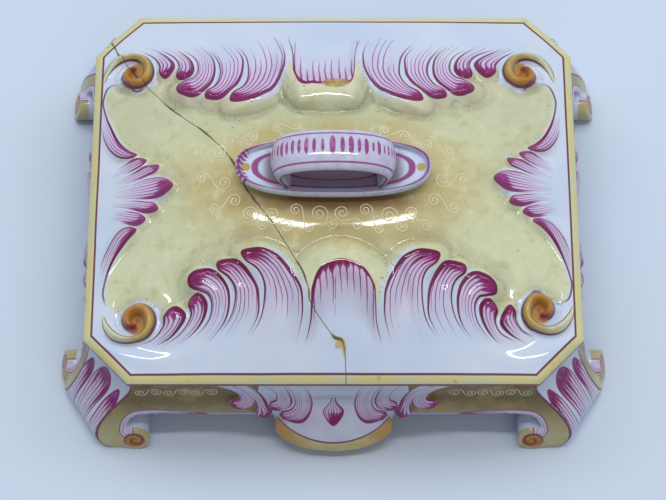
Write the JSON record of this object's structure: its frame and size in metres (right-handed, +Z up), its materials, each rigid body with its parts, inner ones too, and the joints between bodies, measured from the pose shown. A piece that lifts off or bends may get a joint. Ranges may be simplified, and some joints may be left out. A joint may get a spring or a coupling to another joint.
{
  "type": "ceramic box",
  "caption": "Low oblong glazed earthenware casket with cut corners on scrolled feet, closed by a domed lift-off lid with moulded relief and a strap handle.",
  "frame": {"origin": "on the ground, under the middle of the box", "axes": "+X along the long side, +Y from front to back, +Z up"},
  "size_m": [0.2518, 0.2152, 0.1032],
  "materials": {
    "white_glaze": "glossy white tin glaze",
    "painted_walls": "glossy tin glaze painted in olive ochre and purple",
    "painted_cartouche": "glossy tin glaze with a pale yellow rim",
    "painted_feet": "glossy tin glaze painted in yellow and purple",
    "painted_lid": "glossy tin glaze painted in yellow, ochre and purple",
    "painted_handle": "glossy white tin glaze with purple brush lines"
  },
  "bodies": {
    "box": {"base_floor": "white_glaze", "front_wall": "painted_walls", "back_wall": "painted_walls", "left_wall": "painted_walls", "right_wall": "painted_walls", "front_cartouche": "painted_cartouche", "back_cartouche": "painted_cartouche", "foot_front_left": "painted_feet", "foot_front_right": "painted_feet", "foot_back_left": "painted_feet", "foot_back_right": "painted_feet"},
    "lid": {"lid_plate": "painted_lid", "lid_flange": "white_glaze", "handle_saddle": "painted_handle", "handle_strap": "painted_handle"}
  },
  "joints": [
    {"name": "lid_lift", "type": "slide", "parent": "box", "child": "lid", "axis": [0, 0, 1], "range_m": [0, 0.12]}
  ]
}
